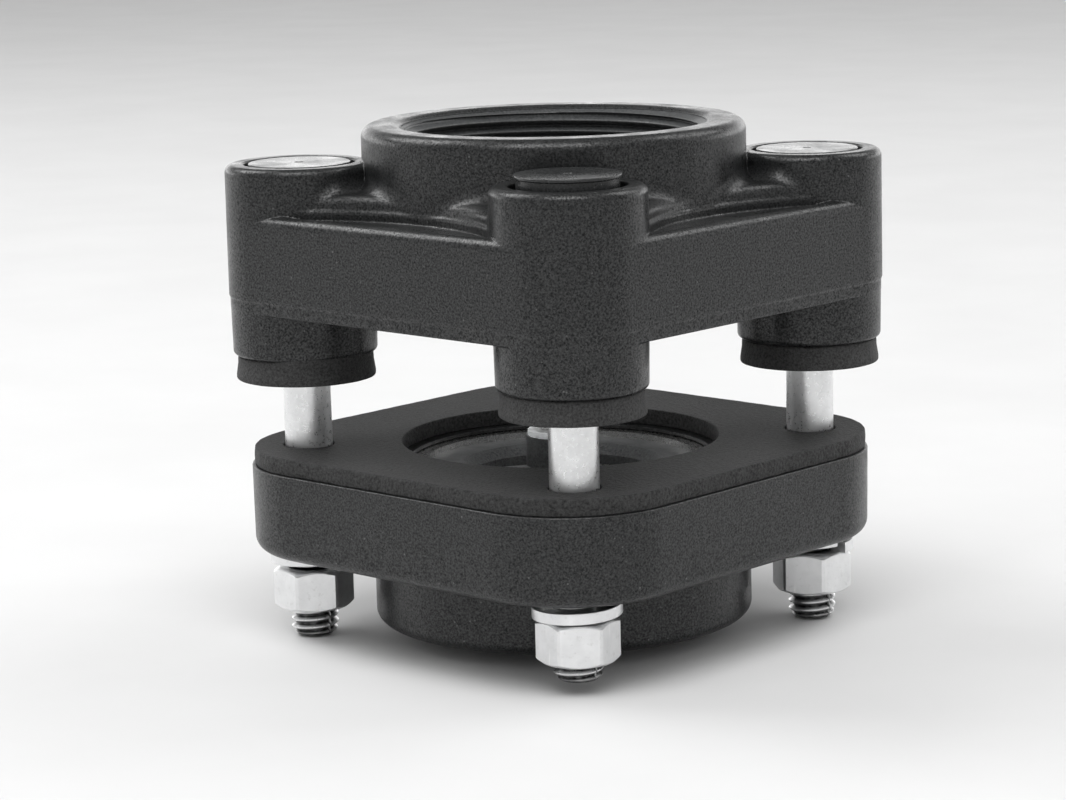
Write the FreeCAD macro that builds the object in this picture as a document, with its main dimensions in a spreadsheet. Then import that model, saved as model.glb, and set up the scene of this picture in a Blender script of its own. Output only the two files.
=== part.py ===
import FreeCAD, Part

import os

import Sketcher

# Foot valve for the floor of a tank. A square upper flange stands inside the tank on four legs,
# a square lower flange with the valve is drawn up against the floor from below by four bolts.
# Frame: millimetres, +Z up along the axis of both pipe ports, origin where that axis crosses
# the plane of the leg seals' undersides, which rest on the tank's floor. The square's sides
# are parallel to X and Y.

DIMENSIONS = {
    # bolts, legs and the square outline
    "bolt_circle": "101.6",
    "bolt_offset": "=bolt_circle / sqrt(8)",
    "boss_radius": "14.88",
    "half_side": "=bolt_offset + boss_radius",
    "bolt_radius": "4.7625",
    "bolt_hole_radius": "5.15",
    "front_lift": "2.1",
    # heights of the upper flange
    "hub_top": "50.2",
    "boss_top": "43.2",
    "web_top": "37.8",
    "ledge_top": "35.5",
    "skirt_top": "33.7",
    "part_line": "17",
    "skirt_bottom": "14.3",
    "leg_bottom": "5",
    # plan sizes of the upper flange
    "hub_radius": "38.4",
    "hub_tube_radius": "33",
    "hub_round": "2.4",
    "boss_round": "1.4",
    "part_step": "0.25",
    "leg_taper": "1",
    "skirt_wall": "4",
    "deck_thickness": "4",
    "web_half_side": "47.3",
    "web_corner": "30",
    "ledge_scallop_centre": "85",
    "ledge_scallop_radius": "46.2",
    "web_scallop_centre": "85.2",
    "web_scallop_radius": "47.4",
    "recess_radius": "11.1",
    "recess_depth": "9.5",
    # pipe ports, whose walls are at the crests of their threads
    "thread_crest_radius": "28.3",
    "upper_thread_length": "18",
    "lower_thread_length": "15.5",
    "upper_mouth_radius": "31.8",
    "lower_mouth_radius": "31",
    "mouth_depth": "2",
    "bore_lead": "0.8",
    "upper_bore_radius": "27.5",
    # heights of the lower flange
    "flange_top": "-17.3",
    "flange_bottom": "-35",
    "lower_hub_bottom": "-50.1",
    "lower_hub_radius": "38.2",
    "flange_corner": "23",
    "flange_round": "3",
    "lower_hub_round": "2.2",
    "gasket_thickness": "3.4",
    "gasket_inset": "0.5",
    "gasket_hole_radius": "32",
    # valve
    "seat_pocket_radius": "30",
    "seat_top": "=flange_top - 2.2",
    "seat_thickness": "5",
    "seat_bottom": "=seat_top - seat_thickness",
    "seat_opening_radius": "19",
    "retaining_ring_height": "1.2",
    "retaining_groove_radius": "31.4",
    "retaining_ring_width": "2.4",
    "slack": "0.05",
    "chamber_radius": "27.8",
    "o_ring_groove_radius": "28.2",
    "o_ring_groove_bottom": "=seat_bottom + 1.4",
    "o_ring_groove_width": "1.9",
    "o_ring_wire_radius": "0.86",
    "o_ring_clearance": "0.01",
    "guide_top": "=seat_top + 6",
    "guide_radius": "7",
    "guide_bottom": "=seat_top - 2.7",
    "arm_half_width": "1.5",
    "arm_drop": "0.2",
    "seat_lead": "2",
    "bush_radius": "4.5",
    "bush_flange_radius": "6.6",
    "bush_flange_height": "1",
    "stem_radius": "3",
    "stem_top": "=cup_top + 6.2",
    "stem_end_bevel": "0.7",
    "disc_radius": "22.8",
    "disc_thickness": "3",
    "disc_bevel": "3",
    "disc_edge": "1.4",
    "seal_thickness": "2",
    "seal_radius": "22.3",
    "seal_hole_radius": "14.5",
    "retainer_radius": "17.6",
    "retainer_thickness": "1.4",
    "small_bevel": "0.5",
    "stem_head_radius": "5.5",
    "stem_head_height": "2",
    "spring_length": "19",
    "spring_radius": "5",
    "wire_radius": "0.5",
    "spring_turns": "7",
    "spring_bottom": "=guide_top + bush_flange_height",
    "cup_seat": "=spring_bottom + spring_length",
    "cup_top": "=cup_seat + 1.2",
    "cup_radius": "7.2",
    "cup_wall": "0.9",
    "cup_lip": "1.5",
    # fasteners
    "hex_across_flats": "14.29",
    "head_height": "5.6",
    "head_bottom": "=boss_top - 7.8",
    "bolt_end": "-52.9",
    "bolt_chamfer": "1.1",
    "bolt_overlap": "1",
    "cap_disc_radius": "10.2",
    "cap_disc_height": "0.7",
    "cap_body_radius": "9.7",
    "cap_body_height": "6.6",
    "cap_clearance": "0.02",
    "head_seal_height": "1.5",
    "head_seal_radius": "10.9",
    "washer_height": "4",
    "washer_thickness": "2.3",
    "washer_radius": "8.65",
    "washer_clearance": "0.3",
    "washer_turns": "0.96",
    "nut_height": "8.33",
    "nut_clearance": "0.06",
    "nut_bevel": "0.9",
    "nut_bevel_run": "0.2",
    "lock_nut_across_flats": "10",
    "lock_nut_height": "5",
    "leg_seal_radius": "14",
    "leg_seal_round": "0.6",
}

SPIDER_ARMS = 3
CORNERS = {"front": (1, -1), "right": (1, 1), "back": (-1, 1), "left": (-1, -1)}

# Degrees by which each nut and each washer's split happens to stand about its bolt.
NUT_TURNS = {"front": -15, "right": 25, "back": 11, "left": -9}
WASHER_TURNS = {"front": 200, "right": 0, "back": 90, "left": -5}

# The front bolt has not been drawn fully home, so it stands a little higher than the others.
BOLT_LIFTS = {"front": "front_lift", "right": "0", "back": "0", "left": "0"}

doc = FreeCAD.newDocument("foot_valve")
sheet = doc.addObject("Spreadsheet::Sheet", "Dims")
for row, (alias, content) in enumerate(DIMENSIONS.items(), start=1):
    sheet.set(f"A{row}", alias)
    sheet.set(f"B{row}", content)
    sheet.setAlias(f"B{row}", alias)
doc.recompute()

SUBPARTS = []


# ---------------------------------------------------------------- sketch and feature helpers

def value(expression):
    """The number that an expression of sheet aliases gives now."""
    return float(sheet.evalExpression(with_sheet(expression)))


def with_sheet(expression):
    """The expression with each alias written as a reference to the sheet."""
    words = []
    word = ""
    for letter in str(expression) + " ":
        if letter.isalnum() or letter in "_.":
            word += letter
            continue
        words.append(f"Dims.{word}" if word in DIMENSIONS else word)
        words.append(letter)
        word = ""
    return "".join(words).strip()


def bind(item, prop, expression):
    item.setExpression(prop, with_sheet(expression))


def new_body(label, is_subpart=True):
    body = doc.addObject("PartDesign::Body", label)
    body.Label = label
    if is_subpart:
        SUBPARTS.append(body)
    return body


def new_sketch(body, name, role, height=None):
    """A sketch on one of the body's origin planes, raised along the plane's normal."""
    sketch = body.newObject("Sketcher::SketchObject", name)
    plane = next(item for item in body.Origin.OriginFeatures if item.Role == role)
    sketch.AttachmentSupport = [(plane, "")]
    sketch.MapMode = "FlatFace"
    if height is not None:
        bind(sketch, "AttachmentOffset.Base.z", height)
    return sketch


def add_constraint(sketch, constraint, expression):
    index = sketch.addConstraint(constraint)
    bind(sketch, f"Constraints[{index}]", expression)


def add_polygon(sketch, points):
    """A closed outline through points given as pairs of expressions."""
    places = [FreeCAD.Vector(value(x), value(y), 0) for x, y in points]
    first = sketch.GeometryCount
    count = len(places)
    for index, place in enumerate(places):
        sketch.addGeometry(Part.LineSegment(place, places[(index + 1) % count]))
    for index in range(count):
        following = first + (index + 1) % count
        sketch.addConstraint(Sketcher.Constraint("Coincident", first + index, 2, following, 1))
    for index, (x, y) in enumerate(points):
        line = first + index
        across = Sketcher.Constraint("DistanceX", -1, 1, line, 1, places[index].x)
        up = Sketcher.Constraint("DistanceY", -1, 1, line, 1, places[index].y)
        add_constraint(sketch, across, x)
        add_constraint(sketch, up, y)


def add_circle(sketch, x, y, radius):
    centre = FreeCAD.Vector(value(x), value(y), 0)
    circle = Part.Circle(centre, FreeCAD.Vector(0, 0, 1), value(radius))
    index = sketch.addGeometry(circle)
    add_constraint(sketch, Sketcher.Constraint("Radius", index, circle.Radius), radius)
    add_constraint(sketch, Sketcher.Constraint("DistanceX", -1, 1, index, 3, centre.x), x)
    add_constraint(sketch, Sketcher.Constraint("DistanceY", -1, 1, index, 3, centre.y), y)


def square(half):
    return [(f"-({half})", f"-({half})"), (half, f"-({half})"), (half, half), (f"-({half})", half)]


def hexagon(across_flats):
    """Corners of a hexagon with two of its sides parallel to X."""
    corner = f"({across_flats}) / sqrt(3)"
    return [(f"{corner} * cos({60 * k} deg)", f"{corner} * sin({60 * k} deg)") for k in range(6)]


def pad(body, name, sketch, bottom, top):
    """A pad upwards from a sketch at the height bottom."""
    feature = body.newObject("PartDesign::Pad", name)
    feature.Profile = sketch
    bind(feature, "Length", f"({top}) - ({bottom})")
    doc.recompute()
    return feature


def pocket(body, name, sketch, bottom, top):
    """A cut upwards from a sketch at the height bottom."""
    feature = body.newObject("PartDesign::Pocket", name)
    feature.Profile = sketch
    feature.Reversed = True
    bind(feature, "Length", f"({top}) - ({bottom})")
    volume_before = feature.BaseFeature.Shape.Volume
    doc.recompute()
    if feature.Shape.Volume >= volume_before:
        raise RuntimeError(f"{body.Label}: {name} cuts nothing")
    return feature


def pad_polygon(body, name, points, bottom, top):
    sketch = new_sketch(body, f"{name}_outline", "XY_Plane", bottom)
    add_polygon(sketch, points)
    return pad(body, name, sketch, bottom, top)


def circles_sketch(body, name, height, circles):
    sketch = new_sketch(body, f"{name}_circles", "XY_Plane", height)
    for x, y, radius in circles:
        add_circle(sketch, x, y, radius)
    return sketch


def pad_circles(body, name, circles, bottom, top):
    return pad(body, name, circles_sketch(body, name, bottom, circles), bottom, top)


def pocket_circles(body, name, circles, bottom, top):
    return pocket(body, name, circles_sketch(body, name, bottom, circles), bottom, top)


def turned(body, name, points, kind="PartDesign::Revolution", degrees=360):
    """A solid or a cut turned about Z from (radius, height) points."""
    sketch = new_sketch(body, f"{name}_profile", "XZ_Plane")
    add_polygon(sketch, points)
    feature = body.newObject(kind, name)
    feature.Profile = sketch
    feature.ReferenceAxis = (sketch, ["V_Axis"])
    feature.Angle = degrees
    doc.recompute()
    return feature


def edges_where(shape, test):
    """Names of the edges of a shape that pass a test."""
    return [f"Edge{k}" for k, edge in enumerate(shape.Edges, start=1) if test(edge)]


def round_edges(body, name, radius, test):
    base = body.Tip
    feature = body.newObject("PartDesign::Fillet", name)
    feature.Base = (base, edges_where(base.Shape, test))
    bind(feature, "Radius", radius)
    doc.recompute()
    return feature


def is_upright(edge):
    box = edge.BoundBox
    return box.ZLength > 1 and box.XLength < 1e-6 and box.YLength < 1e-6


def is_round(radius, height):
    """A test for circles and arcs of one radius at one height."""
    def test(edge):
        if edge.Curve.TypeId != "Part::GeomCircle":
            return False
        same_size = abs(edge.Curve.Radius - value(radius)) < 0.01
        return same_size and abs(edge.Curve.Center.z - value(height)) < 0.01
    return test


def at_corners(radius, offset="bolt_offset"):
    """One circle of that radius at each of the four bolts."""
    return [(f"{x} * {offset}", f"{y} * {offset}", radius) for x, y in CORNERS.values()]


def at_sides(distance, radius):
    """One circle outside the middle of each of the four sides."""
    return [
        (distance, "0", radius),
        ("0", distance, radius),
        (f"-{distance}", "0", radius),
        ("0", f"-{distance}", radius),
    ]


def stand_at_corner(body, corner, degrees, height="0"):
    """Places a body that was made about Z on the axis of one bolt."""
    x, y = CORNERS[corner]
    upright = FreeCAD.Vector(0, 0, 1)
    body.Placement = FreeCAD.Placement(FreeCAD.Vector(), FreeCAD.Rotation(upright, degrees))
    bind(body, "Placement.Base.x", f"{x} * bolt_offset")
    bind(body, "Placement.Base.y", f"{y} * bolt_offset")
    bind(body, "Placement.Base.z", height)


def group_at_corners(label, make_one, turns=None, heights=None):
    """Four like solids, one at each bolt, kept as one sub-part."""
    members = []
    for corner in CORNERS:
        member = new_body(f"{label}_{corner}", is_subpart=False)
        make_one(member)
        degrees = turns[corner] if turns else 0
        height = heights[corner] if heights else "0"
        stand_at_corner(member, corner, degrees, height)
        members.append(member)
    group = doc.addObject("Part::Compound", label)
    group.Label = label
    group.Links = members
    SUBPARTS.append(group)
    return group


# ---------------------------------------------------------------- mouldings

def upper_flange():
    body = new_body("upper_flange")
    deck_underside = "skirt_top - deck_thickness"
    foot_outline = "half_side - part_step"
    pad_polygon(body, "skirt_foot", square(foot_outline), "skirt_bottom", "part_line")
    round_edges(body, "skirt_foot_corners", "boss_radius - part_step", is_upright)
    skirt = new_body("upper_skirt", is_subpart=False)
    pad_polygon(skirt, "skirt", square("half_side"), "part_line", "skirt_top")
    round_edges(skirt, "skirt_corners", "boss_radius", is_upright)
    join(body, "skirt_on_foot", skirt)

    cavity = new_body("upper_cavity", is_subpart=False)
    pad_polygon(cavity, "cavity", square("half_side - skirt_wall"), "skirt_bottom", deck_underside)
    round_edges(cavity, "cavity_corners", "boss_radius - skirt_wall", is_upright)
    cut_away(body, "open_underside", cavity)

    for name, bottom, top in (
        ("ledge", "skirt_top", "ledge_top"),
        ("web", "ledge_top", "web_top"),
    ):
        pad_polygon(body, name, web_outline(), bottom, top)
        scallops = at_sides(f"{name}_scallop_centre", f"{name}_scallop_radius")
        pocket_circles(body, f"{name}_scallops", scallops, bottom, top)

    pad_circles(body, "hub", [("0", "0", "hub_radius")], deck_underside, "hub_top")
    pad_circles(body, "hub_tube", [("0", "0", "hub_tube_radius")], "skirt_bottom", deck_underside)
    pad_circles(body, "bosses", at_corners("boss_radius"), "part_line", "boss_top")
    legs_sketch = circles_sketch(body, "legs", "part_line", at_corners("boss_radius - part_step"))
    legs = body.newObject("PartDesign::Pad", "legs")
    legs.Profile = legs_sketch
    legs.Reversed = True
    bind(legs, "Length", "part_line - leg_bottom")
    bind(legs, "TaperAngle", "-leg_taper")
    doc.recompute()

    thread_top = "hub_top - mouth_depth"
    thread_end = f"{thread_top} - upper_thread_length"
    turned(
        body,
        "port",
        [("0", "hub_top"), ("upper_mouth_radius", "hub_top")]
        + [("thread_crest_radius", thread_top), ("thread_crest_radius", thread_end)]
        + [("upper_bore_radius", f"{thread_end} - bore_lead")]
        + [("upper_bore_radius", "skirt_bottom"), ("0", "skirt_bottom")],
        "PartDesign::Groove",
    )
    recess_floor = "boss_top - recess_depth"
    pocket_circles(body, "recesses", at_corners("recess_radius"), recess_floor, "boss_top")
    pocket_circles(body, "bolt_holes", at_corners("bolt_hole_radius"), "leg_bottom", recess_floor)
    round_edges(body, "hub_rim", "hub_round", is_round("hub_radius", "hub_top"))
    round_edges(body, "boss_rims", "boss_round", is_round("boss_radius", "boss_top"))
    return body


def web_outline():
    """Square with cut corners, whose corners lie inside the bosses."""
    points = []
    for x, y in ((1, 1), (-1, 1), (-1, -1), (1, -1)):
        beside = (f"{x} * web_half_side", f"{y} * web_corner")
        above = (f"{x} * web_corner", f"{y} * web_half_side")
        points += [beside, above] if x * y > 0 else [above, beside]
    return points


def join(body, name, tool):
    boolean(body, name, tool, "Fuse")


def cut_away(body, name, tool):
    boolean(body, name, tool, "Cut")


def boolean(body, name, tool, kind):
    feature = body.newObject("PartDesign::Boolean", name)
    feature.setObjects([tool])
    feature.Type = kind
    doc.recompute()


def lower_flange():
    body = new_body("lower_flange")
    pad_polygon(body, "plate", square("half_side"), "flange_bottom", "flange_top")
    round_edges(body, "plate_corners", "flange_corner", is_upright)
    round_edges(body, "plate_underside", "flange_round", lies_at("flange_bottom"))
    hub = [("0", "0", "lower_hub_radius")]
    pad_circles(body, "hub", hub, "lower_hub_bottom", "flange_bottom + flange_round")
    round_edges(body, "hub_rim", "lower_hub_round", is_round("lower_hub_radius", "lower_hub_bottom"))
    thread_bottom = "lower_hub_bottom + mouth_depth"
    thread_end = f"{thread_bottom} + lower_thread_length"
    turned(
        body,
        "port",
        [("0", "lower_hub_bottom"), ("lower_mouth_radius", "lower_hub_bottom")]
        + [("thread_crest_radius", thread_bottom), ("thread_crest_radius", thread_end)]
        + [("chamber_radius", f"{thread_end} + bore_lead")]
        + [("chamber_radius", "seat_bottom"), ("seat_pocket_radius", "seat_bottom")]
        + [("seat_pocket_radius", "seat_top"), ("retaining_groove_radius", "seat_top")]
        + [("retaining_groove_radius", "seat_top + retaining_ring_height + slack")]
        + [("seat_pocket_radius", "seat_top + retaining_ring_height + slack")]
        + [("seat_pocket_radius", "flange_top"), ("0", "flange_top")],
        "PartDesign::Groove",
    )
    holes = at_corners("bolt_hole_radius")
    pocket_circles(body, "bolt_holes", holes, "flange_bottom", "flange_top")
    return body


def lies_at(height):
    """A test for edges that lie wholly at one height."""
    def test(edge):
        box = edge.BoundBox
        return box.ZLength < 1e-6 and abs(box.ZMin - value(height)) < 0.01
    return test


# ---------------------------------------------------------------- seals

def flange_gasket():
    body = new_body("flange_gasket")
    top = "flange_top + gasket_thickness"
    pad_polygon(body, "sheet", square("half_side - gasket_inset"), "flange_top", top)
    round_edges(body, "corners", "flange_corner - gasket_inset", is_upright)
    holes = [("0", "0", "gasket_hole_radius")] + at_corners("bolt_hole_radius")
    pocket_circles(body, "holes", holes, "flange_top", top)
    return body


def ring_profile(inner, outer, bottom, top):
    return [(inner, bottom), (outer, bottom), (outer, top), (inner, top)]


def leg_seal(body):
    turned(body, "ring", ring_profile("bolt_hole_radius", "leg_seal_radius", "0", "leg_bottom"))
    for height in ("0", "leg_bottom"):
        round_edges(body, f"edge_{height}", "leg_seal_round", is_round("leg_seal_radius", height))


def head_seal(body):
    floor = "boss_top - recess_depth"
    top = f"{floor} + head_seal_height"
    turned(body, "ring", ring_profile("bolt_hole_radius", "head_seal_radius", floor, top))


# ---------------------------------------------------------------- fasteners

def bolt(body):
    head_top = "head_bottom + head_height"
    pad_polygon(body, "head", hexagon("hex_across_flats"), "head_bottom", head_top)
    turned(
        body,
        "shank",
        [("0", "bolt_end"), ("bolt_radius - bolt_chamfer", "bolt_end")]
        + [("bolt_radius", "bolt_end + bolt_chamfer"), ("bolt_radius", "head_bottom + bolt_overlap")]
        + [("0", "head_bottom + bolt_overlap")],
    )


def bolt_head_cap(body):
    """Moulded cap: a disc on a round body that is hollow for the hexagon head."""
    body_top = "boss_top - cap_disc_height"
    skirt_height = f"{body_top} - cap_body_height"
    pad_circles(body, "disc", [("0", "0", "cap_disc_radius")], body_top, "boss_top")
    pad_circles(body, "body", [("0", "0", "cap_body_radius")], skirt_height, body_top)
    sketch = new_sketch(body, "socket_outline", "XY_Plane", skirt_height)
    add_polygon(sketch, hexagon("hex_across_flats + 2 * cap_clearance"))
    pocket(body, "socket", sketch, skirt_height, "head_bottom + head_height + cap_clearance")


def lock_washer(body):
    """Split spring washer: one turn of a flat bar, not yet pressed flat."""
    bottom = "flange_bottom - washer_height"
    sketch = new_sketch(body, "bar_section", "XZ_Plane")
    top = f"{bottom} + washer_thickness"
    add_polygon(sketch, ring_profile("bolt_radius + washer_clearance", "washer_radius", bottom, top))
    feature = body.newObject("PartDesign::AdditiveHelix", "turn")
    feature.Profile = sketch
    feature.ReferenceAxis = (sketch, ["V_Axis"])
    feature.Mode = "pitch-turns-angle"
    bind(feature, "Pitch", "(washer_height - washer_thickness) / washer_turns")
    bind(feature, "Turns", "washer_turns")
    doc.recompute()


def nut(body):
    top = "flange_bottom - washer_height"
    bottom = f"{top} - nut_height"
    pad_polygon(body, "hexagon", hexagon("hex_across_flats"), bottom, top)
    pocket_circles(body, "bore", [("0", "0", "bolt_radius + nut_clearance")], bottom, top)
    corner = "hex_across_flats / sqrt(3)"
    for name, height, inwards in (("lower_bevel", bottom, 1), ("upper_bevel", top, -1)):
        drop = f"({height}) + {inwards} * nut_bevel"
        outside = f"{corner} + nut_bevel_run"
        outline = [("hex_across_flats / 2 - nut_bevel_run", height), (outside, height)]
        turned(body, name, outline + [(outside, drop)], "PartDesign::Groove")


def nut_at(corner):
    body = new_body(f"nut_{corner}")
    nut(body)
    stand_at_corner(body, corner, NUT_TURNS[corner])
    return body


# ---------------------------------------------------------------- valve

def seat_ring():
    """Seat with a groove for its seal, and a spider that carries the stem's guide."""
    body = new_body("seat_ring")
    outer = "seat_pocket_radius - slack"
    groove_low = "o_ring_groove_bottom"
    groove_high = "o_ring_groove_bottom + o_ring_groove_width"
    turned(
        body,
        "ring",
        [("seat_opening_radius", "seat_bottom"), (outer, "seat_bottom")]
        + [(outer, groove_low), ("o_ring_groove_radius", groove_low)]
        + [("o_ring_groove_radius", groove_high), (outer, groove_high)]
        + [(outer, "seat_top"), ("seat_opening_radius + seat_lead", "seat_top")]
        + [("seat_opening_radius", "seat_top - seat_lead")],
    )
    for arm in range(SPIDER_ARMS):
        sketch = new_sketch(body, f"arm_{arm}_outline", "XY_Plane", "guide_bottom")
        turn = f"{360 // SPIDER_ARMS * arm} deg"
        reach = "(seat_opening_radius + arm_half_width)"
        half = "arm_half_width"
        add_polygon(
            sketch,
            [
                (f"{along} * cos({turn}) - {across} * sin({turn})",
                 f"{along} * sin({turn}) + {across} * cos({turn})")
                for along, across in ((0, f"-{half}"), (reach, f"-{half}"), (reach, half), (0, half))
            ],
        )
        pad(body, f"arm_{arm}", sketch, "guide_bottom", "seat_top - arm_drop")
    pad_circles(body, "guide", [("0", "0", "guide_radius")], "guide_bottom", "guide_top")
    pocket_circles(body, "guide_bore", [("0", "0", "bush_radius")], "guide_bottom", "guide_top")
    return body


def seat_o_ring():
    ring = doc.addObject("Part::Torus", "seat_o_ring")
    ring.Label = "seat_o_ring"
    bind(ring, "Radius1", "o_ring_groove_radius + o_ring_wire_radius + o_ring_clearance")
    bind(ring, "Radius2", "o_ring_wire_radius")
    bind(ring, "Placement.Base.z", "o_ring_groove_bottom + o_ring_groove_width / 2")
    SUBPARTS.append(ring)
    return ring


def seat_retaining_ring():
    """Open snap ring in the groove above the seat."""
    body = new_body("seat_retaining_ring")
    profile = ring_profile(
        "seat_pocket_radius - retaining_ring_width",
        "retaining_groove_radius - 2 * slack",
        "seat_top",
        "seat_top + retaining_ring_height",
    )
    turned(body, "open_ring", profile, degrees=340)
    return body


def guide_bush():
    body = new_body("guide_bush")
    bore = "stem_radius + slack"
    turned(
        body,
        "bush",
        [(bore, "guide_bottom"), ("bush_radius", "guide_bottom"), ("bush_radius", "guide_top")]
        + [("bush_flange_radius", "guide_top"), ("bush_flange_radius", "spring_bottom")]
        + [(bore, "spring_bottom")],
    )
    return body


def poppet_disc():
    body = new_body("poppet_disc")
    seal_floor = "seat_bottom - seal_thickness"
    underside = f"{seal_floor} - disc_thickness"
    turned(
        body,
        "disc",
        [("stem_radius", underside), ("disc_radius - disc_bevel", underside)]
        + [("disc_radius", f"{seal_floor} - disc_edge"), ("disc_radius", seal_floor)]
        + [("seal_hole_radius", seal_floor), ("seal_hole_radius", "seat_bottom")]
        + [("stem_radius", "seat_bottom")],
    )
    return body


def poppet_seal():
    body = new_body("poppet_seal")
    floor = "seat_bottom - seal_thickness"
    turned(body, "ring", ring_profile("seal_hole_radius", "seal_radius", floor, "seat_bottom"))
    return body


def seal_retainer():
    body = new_body("seal_retainer")
    top = "seat_bottom + retainer_thickness"
    turned(
        body,
        "washer",
        [("stem_radius", "seat_bottom"), ("retainer_radius", "seat_bottom")]
        + [("retainer_radius", f"{top} - small_bevel"), ("retainer_radius - small_bevel", top)]
        + [("stem_radius", top)],
    )
    return body


def poppet_stem():
    body = new_body("poppet_stem")
    under_disc = "seat_bottom - seal_thickness - disc_thickness"
    head = f"{under_disc} - stem_head_height"
    turned(
        body,
        "stem",
        [("0", head), ("stem_head_radius - small_bevel", head)]
        + [("stem_head_radius", f"{head} + small_bevel"), ("stem_head_radius", under_disc)]
        + [("stem_radius", under_disc), ("stem_radius", "stem_top - stem_end_bevel")]
        + [("stem_radius - stem_end_bevel", "stem_top"), ("0", "stem_top")],
    )
    return body


def valve_spring():
    """Compression spring between the guide bush and the cup on the stem."""
    body = new_body("valve_spring")
    sketch = new_sketch(body, "wire_section", "XZ_Plane")
    add_circle(sketch, "spring_radius", "spring_bottom + wire_radius", "wire_radius")
    coil = body.newObject("PartDesign::AdditiveHelix", "coil")
    coil.Profile = sketch
    coil.ReferenceAxis = (sketch, ["V_Axis"])
    coil.Mode = "pitch-turns-angle"
    bind(coil, "Turns", "spring_turns")
    bind(coil, "Pitch", "(spring_length - 2 * wire_radius) / spring_turns")
    doc.recompute()
    return body


def spring_cup():
    body = new_body("spring_cup")
    lip = "cup_seat - cup_lip"
    turned(
        body,
        "cup",
        [("stem_radius", "cup_seat"), ("cup_radius - cup_wall", "cup_seat")]
        + [("cup_radius - cup_wall", lip), ("cup_radius", lip)]
        + [("cup_radius", "cup_top - small_bevel"), ("cup_radius - small_bevel", "cup_top")]
        + [("stem_radius", "cup_top")],
    )
    return body


def stem_lock_nut():
    body = new_body("stem_lock_nut")
    top = "cup_top + lock_nut_height"
    pad_polygon(body, "hexagon", hexagon("lock_nut_across_flats"), "cup_top", top)
    pocket_circles(body, "bore", [("0", "0", "stem_radius")], "cup_top", top)
    return body


# ---------------------------------------------------------------- build and write

upper_flange()
group_at_corners("leg_seals", leg_seal)
group_at_corners("bolt_head_seals", head_seal)
group_at_corners("bolts", bolt, heights=BOLT_LIFTS)
group_at_corners("bolt_head_caps", bolt_head_cap, heights=BOLT_LIFTS)
flange_gasket()
lower_flange()
group_at_corners("lock_washers", lock_washer, turns=WASHER_TURNS)
for corner_name in CORNERS:
    nut_at(corner_name)
seat_ring()
seat_o_ring()
seat_retaining_ring()
guide_bush()
poppet_disc()
poppet_seal()
seal_retainer()
poppet_stem()
valve_spring()
spring_cup()
stem_lock_nut()
doc.recompute()

failed = [item.Name for item in doc.Objects if {"Invalid", "Error"} & set(item.State)]
for item in SUBPARTS:
    if item.Shape.isNull() or not item.Shape.isValid() or not item.Shape.Solids:
        failed.append(item.Label)
if failed:
    raise RuntimeError(f"these objects failed: {failed}")

os.makedirs("parts", exist_ok=True)
for item in SUBPARTS:
    item.Shape.exportStep(f"parts/{item.Label}.step")
print(f"wrote {len(SUBPARTS)} sub-parts")
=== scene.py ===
import math

import bmesh
import bpy
import numpy as np
from mathutils import Matrix, Vector


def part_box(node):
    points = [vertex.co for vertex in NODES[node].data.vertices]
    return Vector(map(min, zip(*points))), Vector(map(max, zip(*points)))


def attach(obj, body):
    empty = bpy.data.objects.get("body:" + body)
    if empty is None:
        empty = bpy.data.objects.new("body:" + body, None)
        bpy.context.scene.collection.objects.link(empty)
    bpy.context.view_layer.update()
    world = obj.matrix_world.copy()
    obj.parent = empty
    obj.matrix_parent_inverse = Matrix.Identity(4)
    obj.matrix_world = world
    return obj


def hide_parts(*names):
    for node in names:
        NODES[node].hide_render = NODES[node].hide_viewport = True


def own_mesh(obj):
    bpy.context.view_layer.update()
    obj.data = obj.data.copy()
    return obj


# Looks of the foot valve. Shapes are worked out in millimetres in the part's frame and become
# metres when a mesh is made.

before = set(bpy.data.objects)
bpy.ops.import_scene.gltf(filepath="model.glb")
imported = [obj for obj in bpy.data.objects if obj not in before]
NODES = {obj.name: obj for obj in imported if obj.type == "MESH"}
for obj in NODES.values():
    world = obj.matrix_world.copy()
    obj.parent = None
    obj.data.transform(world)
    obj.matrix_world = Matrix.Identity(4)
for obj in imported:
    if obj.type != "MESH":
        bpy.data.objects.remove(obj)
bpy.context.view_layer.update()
MM = 0.001

CORNERS = {"front": (1, -1), "right": (1, 1), "back": (-1, 1), "left": (-1, -1)}


def node_box(name):
    """Lowest and highest corner of a CAD node, in millimetres."""
    low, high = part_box(name)
    return np.array(low) / MM, np.array(high) / MM


nut_low, nut_high = node_box("nut_front")
BOLT_OFFSET = (nut_low[0] + nut_high[0]) / 2
NUT_BOTTOM, NUT_TOP = nut_low[2], nut_high[2]
upper_low, upper_high = node_box("upper_flange")
HALF_SIDE, HUB_TOP, LEG_BOTTOM = upper_high[0], upper_high[2], upper_low[2]
lower_low, lower_high = node_box("lower_flange")
PLATE_TOP, LOWER_HUB_BOTTOM = lower_high[2], lower_low[2]
GASKET_TOP = node_box("flange_gasket")[1][2]
WASHER_BOTTOM, PLATE_BOTTOM = NUT_TOP, node_box("lock_washers")[1][2]
BOLT_END = node_box("bolts")[0][2]
SPRING_BOTTOM, SPRING_TOP = (corner[2] for corner in node_box("valve_spring"))

# upper flange
BOSS_RADIUS, BOSS_TOP, BOSS_DRAFT = 14.88, 43.2, math.tan(math.radians(1))
HUB_RADIUS, HUB_TUBE_RADIUS, HUB_ROUND = 38.4, 33.0, 2.4
WEB_TOP, LEDGE_TOP, DECK_TOP, LIP = 38.1, 35.5, 33.2, 0.8
WEB_HALF_SIDE, WEB_CORNER = 47.3, 77.3
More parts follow.
